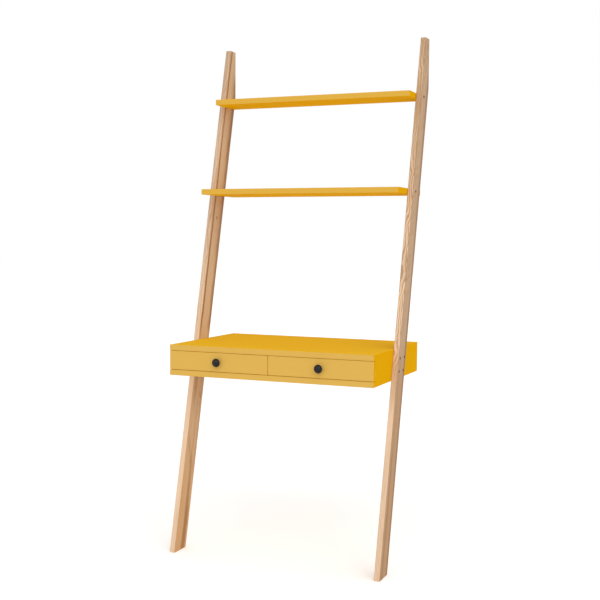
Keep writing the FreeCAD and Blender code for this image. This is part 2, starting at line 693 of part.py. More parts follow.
def make_patterns():
    """Make one of each fastener, to be copied to its seats."""
    insert_bore = "Sizes.bolt_diameter / 2 + Sizes.fit_clearance"
    insert_wall = "Sizes.insert_diameter / 2"
    slack = "2 * Sizes.fit_clearance"
    shelf_dowel = f"Sizes.leg_dowel_depth + Sizes.shelf_dowel_depth - {slack}"
    carcass_dowel = f"Sizes.top_dowel_depth + Sizes.panel_dowel_depth - {slack}"
    carcass_shank = ("Sizes.board_thickness - Sizes.carcass_head_height + Sizes.carcass_screw_depth"
                     " - Sizes.fit_clearance")
    runner_shank = ("Sizes.runner_thickness - Sizes.wood_head_height + Places.runner_screw_bite"
                    " - Sizes.fit_clearance")
    front_shank = "Sizes.drawer_wall_thickness + Sizes.front_screw_bite - Sizes.fit_clearance"
    knob_shank = ("Sizes.drawer_wall_thickness + Sizes.front_thickness + Sizes.knob_screw_bite"
                  " - Sizes.fit_clearance")
    return {
        "bolt": make_bolt(),
        "insert": turned("insert", [
            (insert_bore, "0"), (insert_wall, "0"), (insert_wall, "-Sizes.insert_length"),
            (insert_bore, "-Sizes.insert_length")]),
        "shelf_dowel": rod("shelf_dowel", "Sizes.dowel_diameter", shelf_dowel, "Sizes.dowel_chamfer"),
        "carcass_dowel": rod("carcass_dowel", "Sizes.dowel_diameter", carcass_dowel, "Sizes.dowel_chamfer"),
        "carcass_screw": headed("carcass_screw", "Sizes.carcass_screw_head", "Sizes.carcass_head_height",
                                "Sizes.carcass_screw_diameter", carcass_shank),
        "runner_screw": headed("runner_screw", "Sizes.wood_screw_head", "Sizes.wood_head_height",
                               "Sizes.wood_screw_diameter", runner_shank),
        "front_screw": headed("front_screw", "Sizes.pan_head_diameter", "Sizes.pan_head_height",
                              "Sizes.wood_screw_diameter", front_shank),
        "knob_screw": headed("knob_screw", "Sizes.pan_head_diameter", "Sizes.pan_head_height",
                             "Sizes.knob_screw_diameter", knob_shank),
        "stop_pin": rod("stop_pin", "Sizes.stop_pin_diameter", "Places.groove_web + Places.stop_pin_reach",
                        "Sizes.stop_pin_chamfer"),
    }


def seats_on_sides(x, points):
    """Seat fasteners on both sides of the object at an X place, pointing outwards."""
    return [((times(sign, x), y, z), sideways(sign)) for sign in SIDES.values() for y, z in points]


def make_frame_fastenings(patterns):
    """Make the bolts, inserts, dowels and screws that hold the fixed frame together."""
    set_of("desk_bolts", patterns["bolt"], seats_on_sides("Places.bolt_seat", desk_bolt_points()))
    set_of("shelf_bolts", patterns["bolt"], seats_on_sides("Places.bolt_seat", shelf_points(-1)))
    set_of("desk_inserts", patterns["insert"], seats_on_sides("Places.half_clear", desk_bolt_points()))
    set_of("shelf_inserts", patterns["insert"], seats_on_sides("Places.half_clear", shelf_points(-1)))
    shelf_dowel_start = "Places.half_clear - Sizes.shelf_dowel_depth + Sizes.fit_clearance"
    set_of("shelf_dowels", patterns["shelf_dowel"], seats_on_sides(shelf_dowel_start, shelf_points(1)))
    dowel_start = "Places.bay_top - Sizes.panel_dowel_depth + Sizes.fit_clearance"
    dowel_seats = [((x, y, dowel_start), UP) for x, y in carcass_points()]
    set_of("carcass_dowels", patterns["carcass_dowel"], dowel_seats)
    head_start = "Places.desk_underside + Sizes.carcass_head_height"
    screw_seats = [((x, y, head_start), DOWN) for x, y in carcass_points()]
    set_of("carcass_screws", patterns["carcass_screw"], screw_seats)
    head_depth = "(Sizes.runner_thickness - Sizes.wood_head_height)"
    runner_seats = []
    for sign in SIDES.values():
        for edge, outward in EDGES.items():
            x = times(sign, f"Places.bay_{edge} - {outward} * {head_depth}")
            runner_seats += [((x, y, z), sideways(-sign * outward)) for y, z in runner_points()]
    set_of("runner_screws", patterns["runner_screw"], runner_seats)


def write_nodes():
    """Check every object and every node's solids, then write one STEP file per node."""
    DOC.recompute()
    for item in DOC.Objects:
        if "Invalid" in item.State or "Error" in item.State:
            raise RuntimeError(f"{item.Label} did not build: {item.State}")
    for node in NODES:
        if node.Shape.isNull() or not node.Shape.isValid() or not node.Shape.Solids:
            raise RuntimeError(f"{node.Label} has no valid solid")
    os.makedirs("parts", exist_ok=True)
    for node in NODES:
        node.Shape.exportStep(f"parts/{node.Label}.step")
    print(f"{len(NODES)} nodes, {sum(len(node.Shape.Solids) for node in NODES)} solids")


def main():
    """Build the sheets, every piece and the files."""
    make_sheet("Sizes", SIZES, "")
    make_sheet("Places", PLACES, "=")
    patterns = make_patterns()
    make_shelf("upper", 0)
    make_shelf("lower", 1)
    make_desk_boards()
    make_desk_panels()
    for side, sign in SIDES.items():
        make_leg(side, sign)
        for edge, outward in EDGES.items():
            make_runner(side, sign, edge, outward)
            make_drawer_side(side, sign, edge, outward)
        make_drawer_walls(side, sign)
        make_drawer_front(side, sign)
        make_knob(side, sign)
        make_drawer_fastenings(side, sign, patterns)
    make_frame_fastenings(patterns)
    write_nodes()


main()
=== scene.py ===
import functools
import logging
import math
from collections.abc import Callable, Iterator
from contextlib import contextmanager
from dataclasses import dataclass, replace
from enum import Enum

import bpy
from mathutils import Matrix, Vector


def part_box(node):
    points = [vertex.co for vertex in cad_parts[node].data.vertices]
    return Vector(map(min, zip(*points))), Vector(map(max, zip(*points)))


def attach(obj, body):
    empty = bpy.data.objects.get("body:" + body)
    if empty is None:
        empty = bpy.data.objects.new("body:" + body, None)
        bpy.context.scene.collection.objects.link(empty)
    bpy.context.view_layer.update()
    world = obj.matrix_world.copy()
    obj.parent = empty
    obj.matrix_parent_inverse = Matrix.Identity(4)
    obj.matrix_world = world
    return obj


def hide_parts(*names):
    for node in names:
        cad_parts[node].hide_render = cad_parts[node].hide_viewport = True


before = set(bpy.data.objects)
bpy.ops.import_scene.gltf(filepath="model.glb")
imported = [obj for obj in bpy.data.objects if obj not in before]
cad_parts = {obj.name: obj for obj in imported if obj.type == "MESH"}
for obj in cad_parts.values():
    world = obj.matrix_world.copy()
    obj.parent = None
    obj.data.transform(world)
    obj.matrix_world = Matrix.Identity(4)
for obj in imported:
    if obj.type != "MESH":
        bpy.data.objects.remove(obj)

logging.basicConfig(level=logging.INFO, format="%(message)s")
LOG = logging.getLogger("ladder_desk")
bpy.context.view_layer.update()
MM = 0.001
LEAN = math.radians(13.5)
BEVEL_ANGLE = math.radians(30)
SMOOTH_ANGLE = math.radians(32)
END_FACING = 0.99  # the least part of an end face's normal along its axis
LEVEL_WITH = 0.05 * MM  # points this near to the furthest one lie on the same end face

Colour = tuple[float, float, float]
Fineness = tuple[float, float, float]
Span = tuple[float, float]
Profile = list[tuple[float, float]]


class Side(Enum):
    """The two halves of the desk, seen from the front. The value is the sign of X."""

    LEFT = -1
    RIGHT = 1

    @property
    def word(self) -> str:
        """Give the side as it stands in the names of nodes and bodies."""
        return self.name.lower()

    @property
    def outwards(self) -> Vector:
        """Give the way out of the desk on this side."""
        return Vector((self.value, 0, 0))


class Axis(Enum):
    """The three directions of the shared frame, by their output on a Separate XYZ node."""

    ACROSS = "X"
    TO_WALL = "Y"
    UP = "Z"

    def drawn_out(self, along: float, across: float) -> Fineness:
        """Give the fineness of a grain that runs along this axis."""
        return tuple(along if axis is self else across for axis in Axis)


class Drive(Enum):
    """The recess in a fastener's head. The value is how many bars or faces the cutter has."""

    CROSS = 2
    HEX = 6


class MixSocket(Enum):
    """The colour sockets of a Mix node, which share their names with others, by number."""

    SHARE = 0
    FIRST = 6
    SECOND = 7
    RESULT = 2


class Wire:
    """A shader value that Python's operators work on."""

    def __init__(self, tree: "ShaderTree", socket: bpy.types.NodeSocket) -> None:
        """Hold an output socket and the tree that it belongs to."""
        self.tree = tree
        self.socket = socket

    def out(self, name: str | int) -> "Wire":
        """Give another output of the same node."""
        return Wire(self.tree, self.socket.node.outputs[name])

    def __add__(self, other: "Wire | float") -> "Wire":
        """Add a value."""
        return self.tree.math("ADD", self, other)

    def __sub__(self, other: "Wire | float") -> "Wire":
        """Take a value away."""
        return self.tree.math("SUBTRACT", self, other)

    def __rsub__(self, other: float) -> "Wire":
        """Take this value away from a number."""
        return self.tree.math("SUBTRACT", other, self)

    def __mul__(self, other: "Wire | float") -> "Wire":
        """Multiply by a value."""
        return self.tree.math("MULTIPLY", self, other)

    def __truediv__(self, other: "Wire | float") -> "Wire":
        """Divide by a value."""
        return self.tree.math("DIVIDE", self, other)

    def __neg__(self) -> "Wire":
        """Turn the sign."""
        return self.tree.math("MULTIPLY", self, -1.0)

    def __abs__(self) -> "Wire":
        """Drop the sign."""
        return self.tree.math("ABSOLUTE", self)

    __radd__ = __add__
    __rmul__ = __mul__


class ShaderTree:
    """The node tree of a material or of the world, written as expressions."""

    def __init__(self, holder: bpy.types.Material | bpy.types.World) -> None:
        """Empty the holder's tree.

        Args:
            holder: The material or the world.
        """
        holder.use_nodes = True
        self.tree = holder.node_tree
        self.tree.nodes.clear()

    def add(self, kind: str, settings: dict[str, object] | None = None,
            inputs: dict[str | int, object] | None = None) -> Wire | None:
        """Add one node.

        Args:
            kind: The node's type.
            settings: The node's own settings, which are set first.
            inputs: A value or a wire for each socket, by name or number.

        Returns:
            The node's first output, or None for a node without one.
        """
        node = self.tree.nodes.new(kind)
        for name, value in (settings or {}).items():
            setattr(node, name, value)
        for name, value in (inputs or {}).items():
            socket = node.inputs[name]
            if isinstance(value, Wire):
                self.tree.links.new(value.socket, socket)
            elif socket.type == "RGBA":
                socket.default_value = (*value, 1.0)
            else:
                socket.default_value = value
        return Wire(self, node.outputs[0]) if node.outputs else None

    def math(self, operation: str, *values: Wire | float) -> Wire:
        """Work out one step of arithmetic."""
        return self.add("ShaderNodeMath", {"operation": operation}, dict(enumerate(values)))

    def distance(self, beside: Wire, along: Wire) -> Wire:
        """Give how far away a place is, from two parts of the way that are square to each other."""
        squares = self.math("POWER", beside, 2.0) + self.math("POWER", along, 2.0)
        return self.math("SQRT", squares)

    def point(self) -> Wire:
        """Give the place on the piece, in metres in the shared frame at rest."""
        return self.add("ShaderNodeTexCoord").out("Object")

    def part(self, vector: Wire, axis: Axis) -> Wire:
        """Give a vector's part along an axis."""
        return self.add("ShaderNodeSeparateXYZ", inputs={"Vector": vector}).out(axis.value)

    def facing(self, axis: Axis) -> Wire:
        """Give how far the surface faces along an axis, from -1 to 1."""
        normal = self.add("ShaderNodeTexCoord").out("Normal")
        return self.part(normal, axis)

    def noise(self, vector: Wire, fineness: Fineness | float, detail: float) -> Wire:
        """Give soft noise from 0 to 1.

        Args:
            vector: The place on the piece.
            fineness: How many times the noise repeats in a metre, along each axis or along all.
            detail: How many finer layers it has.

        Returns:
            The noise.
        """
        factors = fineness if isinstance(fineness, tuple) else (fineness,) * 3
        stretched = self.add("ShaderNodeVectorMath", {"operation": "MULTIPLY"}, {0: vector, 1: factors})
        return self.add("ShaderNodeTexNoise",
                        inputs={"Vector": stretched, "Scale": 1.0, "Detail": detail})

    def swing(self, vector: Wire, fineness: Fineness | float, detail: float) -> Wire:
        """Give such noise from -0.5 to 0.5."""
        return self.noise(vector, fineness, detail) - 0.5

    def ease(self, value: Wire, low: float, high: float) -> Wire:
        """Rise smoothly from 0 to 1 as a value goes from low to high."""
        return self.add("ShaderNodeMapRange", {"interpolation_type": "SMOOTHSTEP"},
                        {"Value": value, "From Min": low, "From Max": high})

    def mix(self, share: Wire, first: Wire | Colour, second: Wire | Colour) -> Wire:
        """Mix two colours.

        Args:
            share: How much of the second colour there is, from 0 to 1.
            first: The first colour.
            second: The second colour.

        Returns:
            The mixed colour.
        """
        mixed = self.add("ShaderNodeMix", {"data_type": "RGBA"}, {
            MixSocket.SHARE.value: share, MixSocket.FIRST.value: first, MixSocket.SECOND.value: second})
        return mixed.out(MixSocket.RESULT.value)

    def bump(self, height: Wire, distance: float) -> Wire:
        """Turn a height from 0 to 1 into a bumped normal of a depth in metres."""
        return self.add("ShaderNodeBump", inputs={"Height": height, "Distance": distance})


@dataclass(frozen=True)
class Finish:
    """What a surface is made of and how it is finished."""

    name: str

    def sockets(self, tree: ShaderTree) -> dict[str, object]:
        """Give what the surface shader's sockets hold.

        Args:
            tree: The material's tree.

        Returns:
            A value or a wire for each socket, by name.
        """
        raise NotImplementedError

    @functools.cache
    def material(self) -> bpy.types.Material:
        """Make the material once and give it again afterwards.

        Returns:
            The material.
        """
        material = bpy.data.materials.new(self.name)
        tree = ShaderTree(material)
        shader = tree.add("ShaderNodeBsdfPrincipled", inputs=self.sockets(tree))
        tree.add("ShaderNodeOutputMaterial", inputs={"Surface": shader})
        return material


@dataclass(frozen=True)
class LegPlace:
    """A place on a leg: across the desk, behind the leg's front edge and along the leg."""

    across: Wire
    depth: Wire
    length: Wire


@dataclass(frozen=True)
class Streak:
    """A streak along a leg, dark or, where its strength is negative, pale.

    Its middle lies behind the leg's front edge and moves back with the length by the slope. It
    runs from low to high along the leg.
    """

    middle: float
    half_width: float
    low: float
    high: float
    strength: float
    slope: float = 0.0
    core: float = 0.25
    fade: float = 60 * MM

    @classmethod
    def line(cls, middle: float, half_width: float,
             *stretches: tuple[float, float, float]) -> tuple["Streak", ...]:
        """Give streaks in one line, each by its low end, its high end and its strength."""
        return tuple(cls(middle, half_width, *stretch) for stretch in stretches)

    def mask(self, tree: ShaderTree, place: LegPlace) -> Wire:
        """Give how dark the streak is.

        Args:
            tree: The material's tree.
            place: The place on the leg.

        Returns:
            The streak's strength in its core, and 0 outside it.
        """
        from_middle = place.depth - self.middle
        if self.slope:
            from_middle = from_middle - (place.length - self.low) * self.slope
        beside = 1 - tree.ease(abs(from_middle), self.core * self.half_width, self.half_width)
        above = tree.ease(place.length, self.low - self.fade, self.low + self.fade)
        below = 1 - tree.ease(place.length, self.high - self.fade, self.high + self.fade)
        return beside * above * below * self.strength


@dataclass(frozen=True)
class Spot:
    """A pin knot, or a spot of painted shade in a counterbore, by its place behind the leg's front edge
    and along the leg.
    """

    depth: float
    length: float
    radius: float
    squash: float = 1.0

    def mask(self, tree: ShaderTree, place: LegPlace, fade: Span) -> Wire:
        """Give where the spot is.

        Args:
            tree: The material's tree.
            place: The place on the leg.
            fade: The two distances from its middle, in radii, between which the spot fades.

        Returns:
            1 inside the spot and 0 outside it.
        """
        inner, outer = fade
        distance = tree.distance(place.depth - self.depth, (place.length - self.length) * self.squash)
        return 1 - tree.ease(distance, inner * self.radius, outer * self.radius)


@dataclass(frozen=True)
class AshWood(Finish):
    """Lacquered ash whose grain follows the leaning leg, warmer towards the foot.

    The pith's place is given across the desk and behind the leg's front edge. A weight says how
    much a pattern adds to the dark wood.
    """

    pith: Span
    front_depth: float
    streaks: tuple[Streak, ...]
    bore_shades: tuple[Spot, ...]
    edge_light: Colour
    face_light: Colour
    heart_light: Colour
    heart_reach: Span
    waviness: float
    contrast: float
    ring_width: float
    knots: tuple[Spot, ...] = ()
    face_dark: Colour = (0.31, 0.14, 0.045)
    edge_dark: Colour = (0.48, 0.305, 0.185)
    # Painted shade: this colour darkens each counterbore's walls and a thin ring round it.
    bore_painted_shade: Colour = (0.10, 0.052, 0.026)
    wander_fineness: Fineness = (5, 5, 1.3)
    waver_fineness: Fineness = (24, 24, 12)
    tone_fineness: Fineness = (26, 26, 1.1)
    fibre_fineness: Fineness = (620, 620, 9)
    pore_fineness: Fineness = (1700, 1700, 45)
    ring_wander: float = 45 * MM
    streak_waver: float = 6 * MM
    ring_rise: Span = (0.35, 0.9)
    ring_fall: Span = (0.92, 1.0)
    pore_limits: Span = (0.62, 0.72)
    face_turn: Span = (0.3, 0.8)
    knot_bend: Span = (0.3, 5.0)
    knot_fade: Span = (0.3, 1.0)
    bore_shade_fade: Span = (0.9, 1.1)
    face_calm: float = 0.5
    heart_calm: float = 0.7
    base_weight: float = 0.08
    fibre_weight: float = 0.6
    tone_weight: float = 0.6
    pore_weight: float = 0.25
    roughness: float = 0.46
    fibre_roughness: float = 0.16
    gloss: float = 0.35
    fibre_relief: float = 0.7
    ring_relief: float = 0.3
    relief: float = 0.12 * MM

    def late_wood(self, tree: ShaderTree, point: Wire, place: LegPlace, waver: Wire) -> Wire:
        """Give the dark part of the year rings, which bend round the knots.

        Args:
            tree: The material's tree.
            point: The same place as a vector.
            place: The place on the leg.
            waver: Noise that bends the rings.

        Returns:
            1 in late wood and 0 in early wood.
        """
        pith_across, pith_depth = self.pith
        wander = tree.swing(point, self.wander_fineness, detail=1.0)
        from_pith = tree.distance(place.across - pith_across, place.depth - pith_depth)
        from_pith = from_pith + wander * self.ring_wander + waver * self.waviness
        for knot in self.knots:
            from_pith = from_pith + knot.mask(tree, place, self.knot_bend) * (2 * knot.radius)
        ring = tree.math("FRACT", from_pith / self.ring_width)
        return tree.ease(ring, *self.ring_rise) * (1 - tree.ease(ring, *self.ring_fall))

    def sockets(self, tree: ShaderTree) -> dict[str, object]:
        """Give what the surface shader's sockets hold.

        Args:
            tree: The material's tree.

        Returns:
            A value or a wire for each socket, by name.
        """
        point = tree.add("ShaderNodeMapping", inputs={
            "Vector": tree.point(), "Rotation": (LEAN, 0, 0), "Location": (0, -self.front_depth, 0)})
        place = LegPlace(*(tree.part(point, axis) for axis in Axis))
        waver = tree.swing(point, self.waver_fineness, detail=2.0)
        fibre = tree.noise(point, self.fibre_fineness, detail=3.0)
        pores = tree.noise(point, self.pore_fineness, detail=1.0)
        tone = tree.swing(point, self.tone_fineness, detail=2.0)
        late_wood = self.late_wood(tree, point, place, waver)
        on_face = tree.ease(abs(tree.facing(Axis.ACROSS)), *self.face_turn)
        near_heart = 1 - tree.ease(place.length, *self.heart_reach)
        figure = self.contrast * (1 - on_face * self.face_calm) * (1 - near_heart * self.heart_calm)
        dark = late_wood * figure + (fibre - 0.5) * self.fibre_weight + tone * self.tone_weight
        dark = dark + self.base_weight
        dark = dark + tree.ease(pores, *self.pore_limits) * late_wood * self.pore_weight
        wavering = replace(place, depth=place.depth + waver * self.streak_waver)
        for streak in self.streaks:
            dark = dark + streak.mask(tree, wavering)
        for knot in self.knots:
            dark = dark + knot.mask(tree, place, self.knot_fade)
        face_wood = tree.mix(near_heart, self.face_light, self.heart_light)
        light_wood = tree.mix(on_face, self.edge_light, face_wood)
        dark_wood = tree.mix(on_face, self.edge_dark, self.face_dark)
        colour = tree.mix(tree.ease(dark, 0.0, 1.0), light_wood, dark_wood)
        # Painted shade in and round the counterbores.
        for shaded_bore in self.bore_shades:
            colour = tree.mix(shaded_bore.mask(tree, place, self.bore_shade_fade), colour, self.bore_painted_shade)
        height = fibre * self.fibre_relief + late_wood * self.ring_relief
        return {
            "Base Color": colour,
            "Roughness": self.roughness + fibre * self.fibre_roughness,
            "Specular IOR Level": self.gloss,
            "Normal": tree.bump(height, self.relief),
        }


@dataclass(frozen=True)
class SatinPaint(Finish):
    """Sprayed satin paint, with painted light: a paler painted sheen where it faces the room, and
    lighter painted tones on the top and on the underside.
    """

    # All colours but the deep one are painted light: a painted sheen on the front faces, and lighter
    # painted tones on the top and on the underside.
    painted_front_sheen: Colour
    deep: Colour = (0.82, 0.405, 0.002)
    painted_top_light: Colour = (0.885, 0.495, 0.018)
    painted_underside_light: Colour = (0.92, 0.475, 0.001)
    turn: Span = (0.3, 0.9)
    cloud_fineness: float = 6
    peel_fineness: float = 420
    cloud_turn: float = 0.2
    roughness: float = 0.72
    cloud_roughness: float = 0.10
    peel_roughness: float = 0.06
    gloss: float = 0.006
    relief: float = 0.03 * MM

    def sockets(self, tree: ShaderTree) -> dict[str, object]:
        """Give what the surface shader's sockets hold.

        Args:
            tree: The material's tree.

        Returns:
            A value or a wire for each socket, by name.
        """
        point = tree.point()
        clouds = tree.swing(point, self.cloud_fineness, detail=3.0)
        peel = tree.noise(point, self.peel_fineness, detail=2.0)
        to_room = -tree.facing(Axis.TO_WALL) + clouds * self.cloud_turn
        up = tree.facing(Axis.UP)
        # Painted light: the front faces mix in a paler painted sheen, the top and the underside lighter
        # painted tones.
        colour = tree.mix(tree.ease(to_room, *self.turn), self.deep, self.painted_front_sheen)
        colour = tree.mix(tree.ease(up, *self.turn), colour, self.painted_top_light)
        return {
            "Base Color": tree.mix(tree.ease(-up, *self.turn), colour, self.painted_underside_light),
            "Roughness": self.roughness + clouds * self.cloud_roughness + peel * self.peel_roughness,
            "Specular IOR Level": self.gloss,
            "Normal": tree.bump(peel, self.relief),
        }


@dataclass(frozen=True)
class Plywood(Finish):
    """Lacquered birch plywood, with its layers on the edges and its grain on the faces."""

    through: Axis
    along: Axis
    light: Colour = (0.74, 0.57, 0.37)
    dark: Colour = (0.50, 0.34, 0.19)
    layer: float = 1.5 * MM
    layer_blur: float = 0.3
    edge_turn: Span = (0.5, 0.8)
    grain_along: float = 5
    grain_across: float = 300
    cloud_fineness: float = 14
    grain_weight: float = 0.6
    cloud_weight: float = 0.5
    layer_weight: float = 0.55
    dark_limits: Span = (0.1, 1.1)
    roughness: float = 0.5
    grain_roughness: float = 0.15
    gloss: float = 0.3
    relief: float = 0.06 * MM

    def sockets(self, tree: ShaderTree) -> dict[str, object]:
        """Give what the surface shader's sockets hold.

        Args:
            tree: The material's tree.

        Returns:
            A value or a wire for each socket, by name.
        """
        point = tree.point()
        fineness = self.along.drawn_out(self.grain_along, self.grain_across)
        grain = tree.noise(point, fineness, detail=3.0)
        clouds = tree.swing(point, self.cloud_fineness, detail=2.0)
        depth = tree.part(point, self.through)
        waves = tree.math("SINE", depth * (math.pi / self.layer))
        on_edge = 1 - tree.ease(abs(tree.facing(self.through)), *self.edge_turn)
        layers = tree.ease(waves, -self.layer_blur, self.layer_blur) * on_edge
        dark = grain * self.grain_weight + clouds * self.cloud_weight + layers * self.layer_weight
        return {
            "Base Color": tree.mix(tree.ease(dark, *self.dark_limits), self.light, self.dark),
            "Roughness": self.roughness + grain * self.grain_roughness,
            "Specular IOR Level": self.gloss,
            "Normal": tree.bump(grain, self.relief),
        }


@dataclass(frozen=True)
class PlainWood(Finish):
    """Plain beech with short flecks, its grain along one axis."""

    along: Axis
    light: Colour = (0.66, 0.44, 0.26)
    dark: Colour = (0.44, 0.26, 0.13)
    fleck_along: float = 24
    fleck_across: float = 420
    cloud_fineness: float = 30
    fleck_weight: float = 0.7
    cloud_weight: float = 0.4
    dark_limits: Span = (0.35, 0.85)
    roughness: float = 0.5
    fleck_roughness: float = 0.2
    relief: float = 0.05 * MM

    def sockets(self, tree: ShaderTree) -> dict[str, object]:
        """Give what the surface shader's sockets hold.

        Args:
            tree: The material's tree.

        Returns:
            A value or a wire for each socket, by name.
        """
        point = tree.point()
        fineness = self.along.drawn_out(self.fleck_along, self.fleck_across)
        flecks = tree.noise(point, fineness, detail=2.0)
        clouds = tree.noise(point, self.cloud_fineness, detail=2.0)
        dark = flecks * self.fleck_weight + clouds * self.cloud_weight
        return {
            "Base Color": tree.mix(tree.ease(dark, *self.dark_limits), self.light, self.dark),
            "Roughness": self.roughness + flecks * self.fleck_roughness,
            "Normal": tree.bump(flecks, self.relief),
        }


@dataclass(frozen=True)
class Enamel(Finish):
    """A black coat on metal, a little worn by handling."""

    body: Colour
    worn: Colour
    roughness: float
    gloss: float
    wear_fineness: float = 120
    grit_fineness: float = 2400
    wear_limits: Span = (0.45, 0.8)
    wear_roughness: float = 0.14
    relief: float = 0.015 * MM

    def sockets(self, tree: ShaderTree) -> dict[str, object]:
        """Give what the surface shader's sockets hold.

        Args:
            tree: The material's tree.

        Returns:
            A value or a wire for each socket, by name.
        """
        point = tree.point()
        wear = tree.noise(point, self.wear_fineness, detail=3.0)
        grit = tree.noise(point, self.grit_fineness, detail=1.0)
        return {
            "Base Color": tree.mix(tree.ease(wear, *self.wear_limits), self.body, self.worn),
            "Roughness": self.roughness + wear * self.wear_roughness,
            "Specular IOR Level": self.gloss,
            "Normal": tree.bump(grit, self.relief),
        }


@dataclass(frozen=True)
class Metal(Finish):
    """Bare metal with stains and fine scratches."""

    bright: Colour
    dull: Colour
    roughness: float
    stain_fineness: float = 260
    scratch_fineness: Fineness = (300, 5200, 5200)
    stain_limits: Span = (0.35, 0.75)
    stain_roughness: float = 0.15
    scratch_roughness: float = 0.08
    relief: float = 0.01 * MM

    def sockets(self, tree: ShaderTree) -> dict[str, object]:
        """Give what the surface shader's sockets hold.

        Args:
            tree: The material's tree.

        Returns:
            A value or a wire for each socket, by name.
        """
        point = tree.point()
        stains = tree.noise(point, self.stain_fineness, detail=3.0)
        scratches = tree.noise(point, self.scratch_fineness, detail=1.0)
        rough = stains * self.stain_roughness + scratches * self.scratch_roughness
        return {
            "Base Color": tree.mix(tree.ease(stains, *self.stain_limits), self.bright, self.dull),
            "Metallic": 1.0,
            "Roughness": self.roughness + rough,
            "Normal": tree.bump(scratches, self.relief),
        }


# Each paint's front colour is a painted sheen on the faces toward the room; the shelves' copy has a
# slightly deeper one.
PAINT = SatinPaint("yellow_satin_paint", painted_front_sheen=(0.775, 0.47, 0.100))
SHELF_PAINT = SatinPaint("shelf_satin_paint", painted_front_sheen=(0.785, 0.457, 0.066))
BLACK_ENAMEL = Enamel("black_enamel", body=(0.006, 0.005, 0.007), worn=(0.016, 0.014, 0.021),
                      roughness=0.34, gloss=0.25)
BLACK_OXIDE = Enamel("black_oxide_steel", body=(0.010, 0.008, 0.007), worn=(0.022, 0.017, 0.014),
                     roughness=0.70, gloss=0.0)
ZINC = Metal("zinc_plated_steel", bright=(0.66, 0.66, 0.65), dull=(0.50, 0.50, 0.49), roughness=0.30)
BRASS = Metal("plain_brass", bright=(0.72, 0.54, 0.25), dull=(0.52, 0.37, 0.15), roughness=0.32)
SIDE_PLYWOOD = Plywood("drawer_side_plywood", through=Axis.ACROSS, along=Axis.TO_WALL)
WALL_PLYWOOD = Plywood("drawer_wall_plywood", through=Axis.TO_WALL, along=Axis.ACROSS)
BASE_PLYWOOD = Plywood("drawer_base_plywood", through=Axis.UP, along=Axis.TO_WALL)
RUNNER_BEECH = PlainWood("runner_beech", Axis.TO_WALL)
SHELF_DOWEL_BEECH = PlainWood("shelf_dowel_beech", Axis.ACROSS)
DESK_DOWEL_BEECH = PlainWood("desk_dowel_beech", Axis.UP)


def dress(node: str, finish: Finish) -> None:
    """Give a CAD node its finish.

    Args:
        node: The node's name.
        finish: Its finish.
    """
    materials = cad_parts[node].data.materials
    materials.clear()
    materials.append(finish.material())
    LOG.info("%s: %s", node, finish.name)


def seat_piece(piece: bpy.types.Object, body: str, nodes: list[str],
               finish: Finish) -> None:
    """Finish a modelled piece and put it in the place of CAD nodes.

    Args:
        piece: The modelled piece, in its place.
        body: The body that it rides on.
        nodes: The nodes that it stands for.
        finish: Its finish.
    """
    piece.data.materials.clear()
    piece.data.materials.append(finish.material())
    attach(piece, body)
    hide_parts(*nodes)
    LOG.info("%s: %s, for %s", piece.name, finish.name, ", ".join(nodes))


def only(*pieces: bpy.types.Object) -> None:
    """Select some pieces alone.

    Args:
        pieces: The pieces, of which the first is made the active one.
    """
    bpy.ops.object.select_all(action="DESELECT")
    for piece in pieces:
        piece.select_set(True)
    bpy.context.view_layer.objects.active = pieces[0]


@contextmanager
def editing(piece: bpy.types.Object,
            test: Callable[[bpy.types.MeshPolygon], bool]) -> Iterator[None]:
    """Edit a piece with the faces selected that pass a test.

    Args:
        piece: The piece to edit.
        test: Tells which faces are selected.

    Returns:
        A context in edit mode.
    """
    only(piece)
    bpy.context.tool_settings.mesh_select_mode = (False, False, True)
    bpy.ops.object.mode_set(mode="EDIT")
    bpy.ops.mesh.select_all(action="DESELECT")
    bpy.ops.object.mode_set(mode="OBJECT")
    for face in piece.data.polygons:
        face.select = test(face)
    bpy.ops.object.mode_set(mode="EDIT")
    yield
    bpy.ops.object.mode_set(mode="OBJECT")


def apply_place(piece: bpy.types.Object) -> None:
    """Move a piece's place, turn and scale into its mesh."""
    only(piece)
    bpy.ops.object.transform_apply(location=True, rotation=True, scale=True)


def apply_modifier(piece: bpy.types.Object, kind: str, **settings: object) -> None:
    """Add a modifier and apply it.

    Args:
        piece: The piece.
        kind: The modifier's type.
        settings: The modifier's own settings.
    """
    only(piece)
    modifier = piece.modifiers.new(kind.lower(), kind)
    for name, value in settings.items():
        setattr(modifier, name, value)
    bpy.ops.object.modifier_apply(modifier=modifier.name)


def add_rod(name: str, radius: float, low: float, high: float, corners: int) -> bpy.types.Object:
    """Add a rod about the Z axis, as a start for a turned piece.

    Args:
        name: The piece's name.
        radius: The rod's radius.
        low: The height of its lower end.
        high: The height of its upper end.
        corners: How many sides it has.

    Returns:
        The rod.
    """
    bpy.ops.object.select_all(action="DESELECT")
    bpy.ops.mesh.primitive_cylinder_add(vertices=corners, radius=radius, depth=high - low,
                                        location=(0, 0, (low + high) / 2))
    rod = bpy.context.object
    rod.name = name
    apply_place(rod)
    return rod


def turn_end(piece: bpy.types.Object, profile: Profile, upper: bool) -> None:
    """Draw out one end face of a turned piece along a profile.

    Args:
        piece: The piece, about the Z axis.
        profile: The radius and height of the end face at each step, from its present one on.
        upper: Whether the upper end face is drawn out, or the lower one.
    """
    sign = 1 if upper else -1
    with editing(piece, lambda face: face.normal.z * sign > END_FACING):
        for (radius, height), (new_radius, new_height) in zip(profile, profile[1:]):
            rise = (0, 0, new_height - height)
            bpy.ops.mesh.extrude_region_move(TRANSFORM_OT_translate={"value": rise})
            factor = new_radius / radius
            bpy.ops.transform.resize(value=(factor, factor, 1), center_override=(0, 0, new_height))


